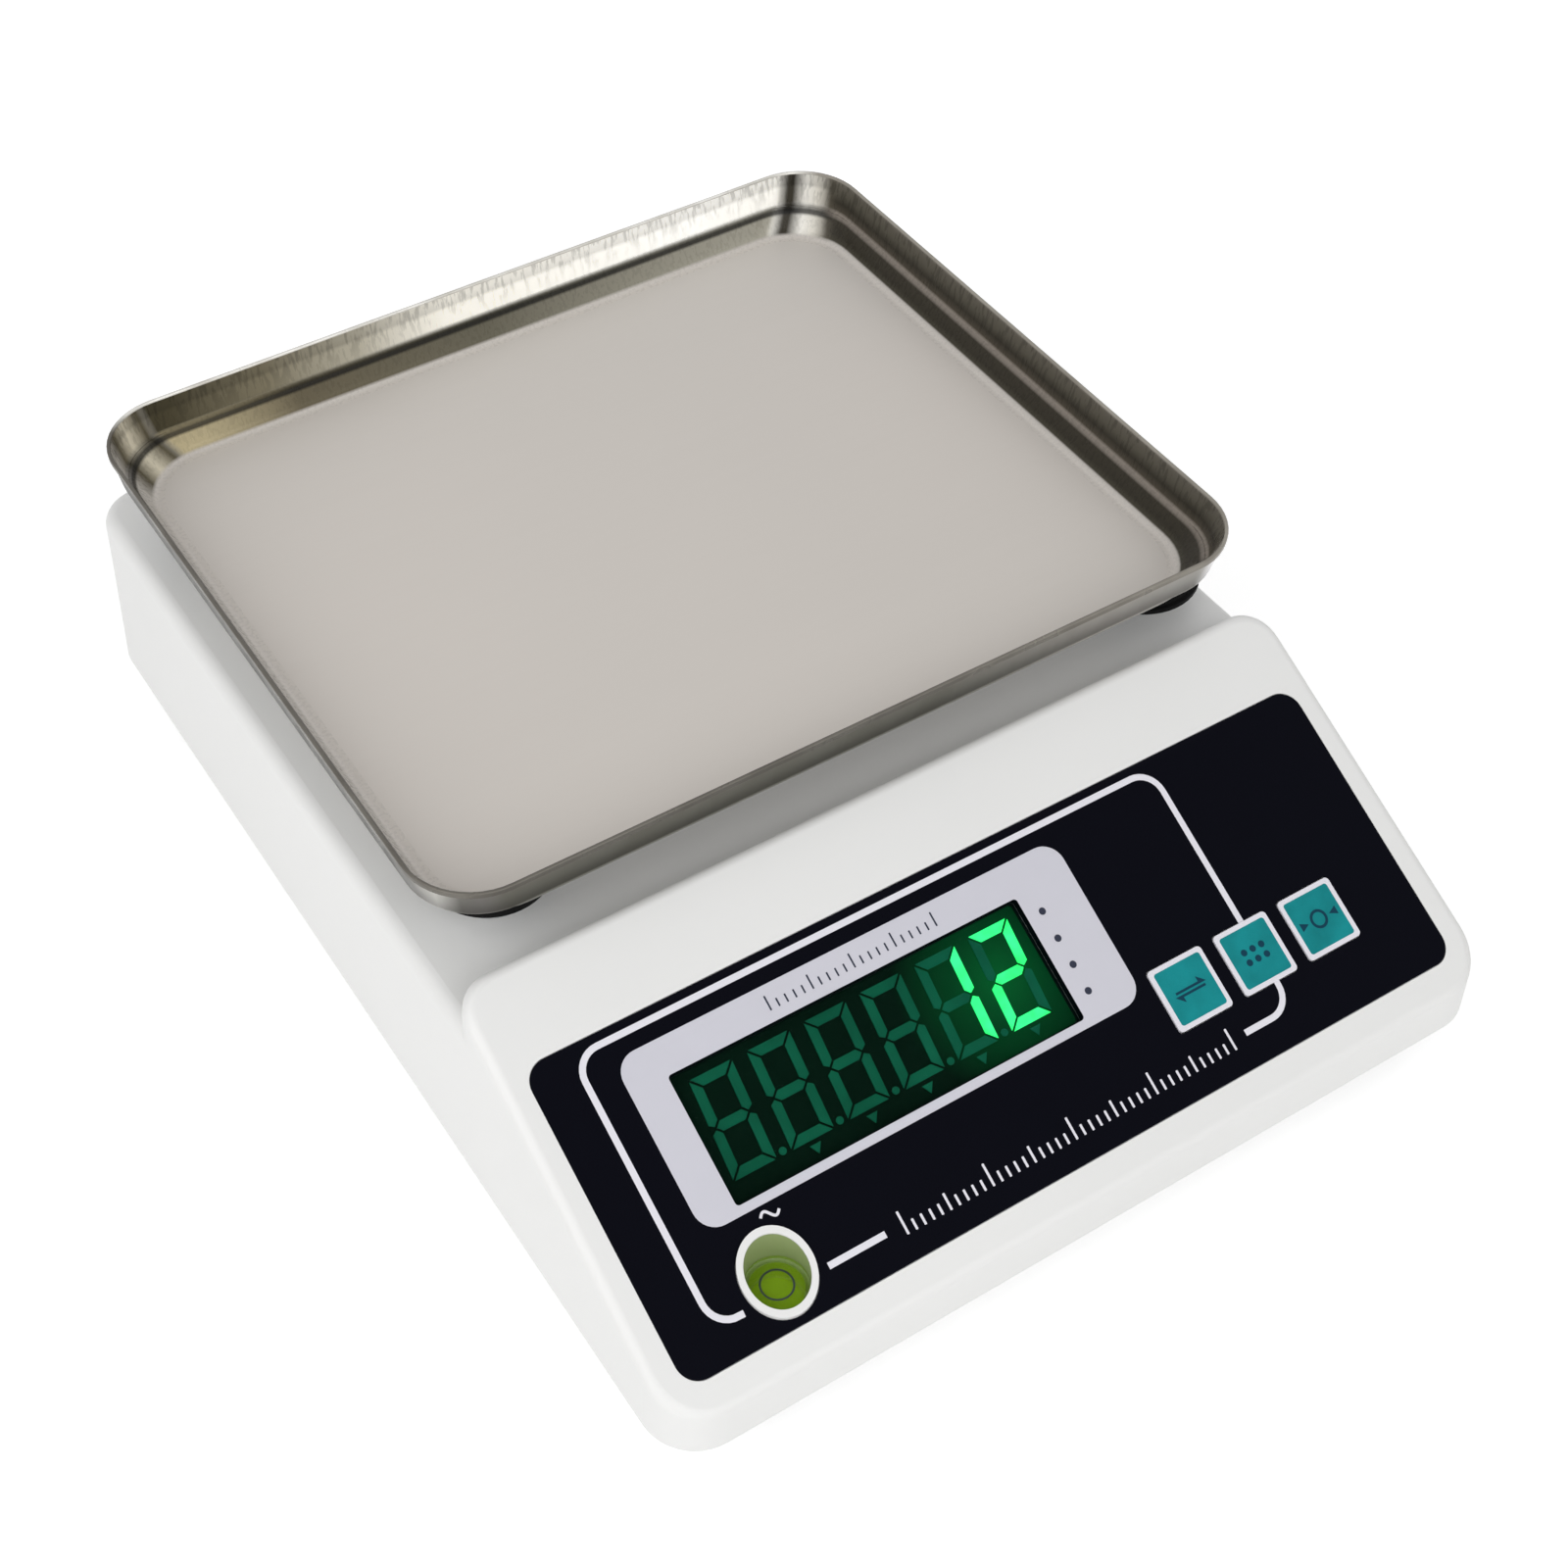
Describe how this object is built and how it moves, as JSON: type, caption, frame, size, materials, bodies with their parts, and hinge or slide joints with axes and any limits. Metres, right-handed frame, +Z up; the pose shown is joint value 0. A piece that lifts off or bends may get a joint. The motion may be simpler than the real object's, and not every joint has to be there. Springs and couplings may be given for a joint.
{
  "type": "laboratory balance",
  "caption": "Electronic bench balance with a sloped display console, a stepped square stainless pan, film keys, a bubble level and levelling feet.",
  "frame": {"origin": "on the table plane under the middle of the housing's footprint", "axes": "+X to the user's right, +Y to the back, +Z up; the sloped console faces -Y"},
  "size_m": [0.195, 0.25, 0.0795],
  "materials": {
    "housing_white": "moulded white plastic, low gloss",
    "base_grey": "moulded off-white plastic",
    "stainless": "pressed stainless sheet, satin floor and burnished wall",
    "black_rubber": "matt black rubber",
    "cast_alloy": "die-cast, plain",
    "beam_alloy": "machined",
    "gauge_coating": "white silicone coating",
    "screw_steel": "zinc-plated",
    "overlay_film": "printed polycarbonate film",
    "tinted_window": "dark green acrylic",
    "display_black": "matt black display face",
    "segment_dull": "unlit segment",
    "segment_lit": "lit green segment",
    "circuit_board": "solder mask",
    "key_teal": "domed film key",
    "switch_black": "moulded black plastic",
    "clear_acrylic": "clear acrylic",
    "level_green": "tinted spirit",
    "insert_brass": "turned",
    "battery_shell": "moulded shell",
    "grey_foam": "cellular foam",
    "chip_black": "moulded package",
    "connector_cream": "moulded nylon",
    "lead_black": "insulated wire",
    "lead_grey": "sheathed cable",
    "foot_plastic": "knurled black plastic on a metric thread"
  },
  "bodies": {
    "base": {"upper_housing": "housing_white", "lower_housing": "base_grey", "housing_screws": "screw_steel", "load_cell": "beam_alloy", "gauge_covers": "gauge_coating", "load_cell_spacer": "beam_alloy", "load_cell_screws": "screw_steel", "overload_screw": "screw_steel", "overload_nut": "screw_steel", "panel_overlay": "overlay_film", "display_window": "tinted_window", "display_body": "display_black", "display_segments": "segment_dull", "display_segments_lit": "segment_lit", "display_board": "circuit_board", "display_board_screws": "screw_steel", "key_switches": "switch_black", "level_vial": "clear_acrylic", "level_liquid": "level_green", "foot_inserts": "insert_brass", "battery": "battery_shell", "battery_foam": "grey_foam", "main_board": "circuit_board", "main_board_screws": "screw_steel", "board_parts": "chip_black", "board_connectors": "connector_cream", "buzzer": "chip_black", "battery_lead": "lead_black", "cell_lead": "lead_grey", "power_leads": "lead_black", "panel_header": "connector_cream", "panel_ribbon": "lead_grey", "power_switch": "switch_black", "power_jack": "switch_black", "jack_nut": "screw_steel"},
    "platform": {"pan_support": "cast_alloy", "support_pedestal": "cast_alloy", "support_screws": "screw_steel", "pan_pads": "black_rubber"},
    "pan": {"weighing_pan": "stainless"},
    "rocker": {"power_rocker": "switch_black"},
    "cover": {"battery_cover": "base_grey"},
    "key_unit": {"key_unit": "key_teal", "switch_button_unit": "switch_black"},
    "key_count": {"key_count": "key_teal", "switch_button_count": "switch_black"},
    "key_tare": {"key_tare": "key_teal", "switch_button_tare": "switch_black"},
    "foot_front_left": {"foot_pad_front_left": "black_rubber"},
    "foot_screw_front_left": {"foot_screw_front_left": "foot_plastic"},
    "foot_front_right": {"foot_pad_front_right": "black_rubber"},
    "foot_screw_front_right": {"foot_screw_front_right": "foot_plastic"},
    "foot_rear_left": {"foot_pad_rear_left": "black_rubber"},
    "foot_screw_rear_left": {"foot_screw_rear_left": "foot_plastic"},
    "foot_rear_right": {"foot_pad_rear_right": "black_rubber"},
    "foot_screw_rear_right": {"foot_screw_rear_right": "foot_plastic"}
  },
  "joints": [
    {"name": "platform_travel", "type": "slide", "parent": "base", "child": "platform", "axis": [0, 0, -1], "range_m": [0, 0.0003], "stiffness_N_per_m": 20000, "springref_m": -0.0003, "deforming": ["load_cell"]},
    {"name": "pan_lift", "type": "slide", "parent": "platform", "child": "pan", "axis": [0, 0, 1], "range_m": [0, 0.04]},
    {"name": "power_rocker_tilt", "type": "hinge", "parent": "base", "child": "rocker", "pos_m": [0.064, 0.1192, 0.033], "axis": [0, 0, 1], "range_deg": [-18, 0]},
    {"name": "battery_cover_slide", "type": "slide", "parent": "base", "child": "cover", "axis": [-1, 0, 0], "range_m": [0, 0.0592]},
    {"name": "key_unit_press", "type": "slide", "parent": "base", "child": "key_unit", "axis": [0, 0.4446, -0.8957], "range_m": [0, 0.0004], "stiffness_N_per_m": 1500, "springref_m": -0.0004},
    {"name": "key_count_press", "type": "slide", "parent": "base", "child": "key_count", "axis": [0, 0.4446, -0.8957], "range_m": [0, 0.0004], "stiffness_N_per_m": 1500, "springref_m": -0.0004},
    {"name": "key_tare_press", "type": "slide", "parent": "base", "child": "key_tare", "axis": [0, 0.4446, -0.8957], "range_m": [0, 0.0004], "stiffness_N_per_m": 1500, "springref_m": -0.0004},
    {"name": "foot_front_left_height", "type": "slide", "parent": "base", "child": "foot_front_left", "axis": [0, 0, -1], "range_m": [-0.0012, 0.004]},
    {"name": "foot_front_left_turn", "type": "hinge", "parent": "foot_front_left", "child": "foot_screw_front_left", "pos_m": [-0.078, -0.104, 0.005], "axis": [0, 0, -1], "range_deg": [-540, 1560]},
    {"name": "foot_front_right_height", "type": "slide", "parent": "base", "child": "foot_front_right", "axis": [0, 0, -1], "range_m": [-0.0012, 0.004]},
    {"name": "foot_front_right_turn", "type": "hinge", "parent": "foot_front_right", "child": "foot_screw_front_right", "pos_m": [0.078, -0.104, 0.005], "axis": [0, 0, -1], "range_deg": [-540, 1560]},
    {"name": "foot_rear_left_height", "type": "slide", "parent": "base", "child": "foot_rear_left", "axis": [0, 0, -1], "range_m": [-0.0012, 0.004]},
    {"name": "foot_rear_left_turn", "type": "hinge", "parent": "foot_rear_left", "child": "foot_screw_rear_left", "pos_m": [-0.078, 0.104, 0.005], "axis": [0, 0, -1], "range_deg": [-540, 1560]},
    {"name": "foot_rear_right_height", "type": "slide", "parent": "base", "child": "foot_rear_right", "axis": [0, 0, -1], "range_m": [-0.0012, 0.004]},
    {"name": "foot_rear_right_turn", "type": "hinge", "parent": "foot_rear_right", "child": "foot_screw_rear_right", "pos_m": [0.078, 0.104, 0.005], "axis": [0, 0, -1], "range_deg": [-540, 1560]}
  ],
  "couplings": [
    {"joint": "foot_front_left_turn", "follows": "foot_front_left_height", "rad_per_m": 6283.2},
    {"joint": "foot_front_right_turn", "follows": "foot_front_right_height", "rad_per_m": 6283.2},
    {"joint": "foot_rear_left_turn", "follows": "foot_rear_left_height", "rad_per_m": 6283.2},
    {"joint": "foot_rear_right_turn", "follows": "foot_rear_right_height", "rad_per_m": 6283.2}
  ]
}
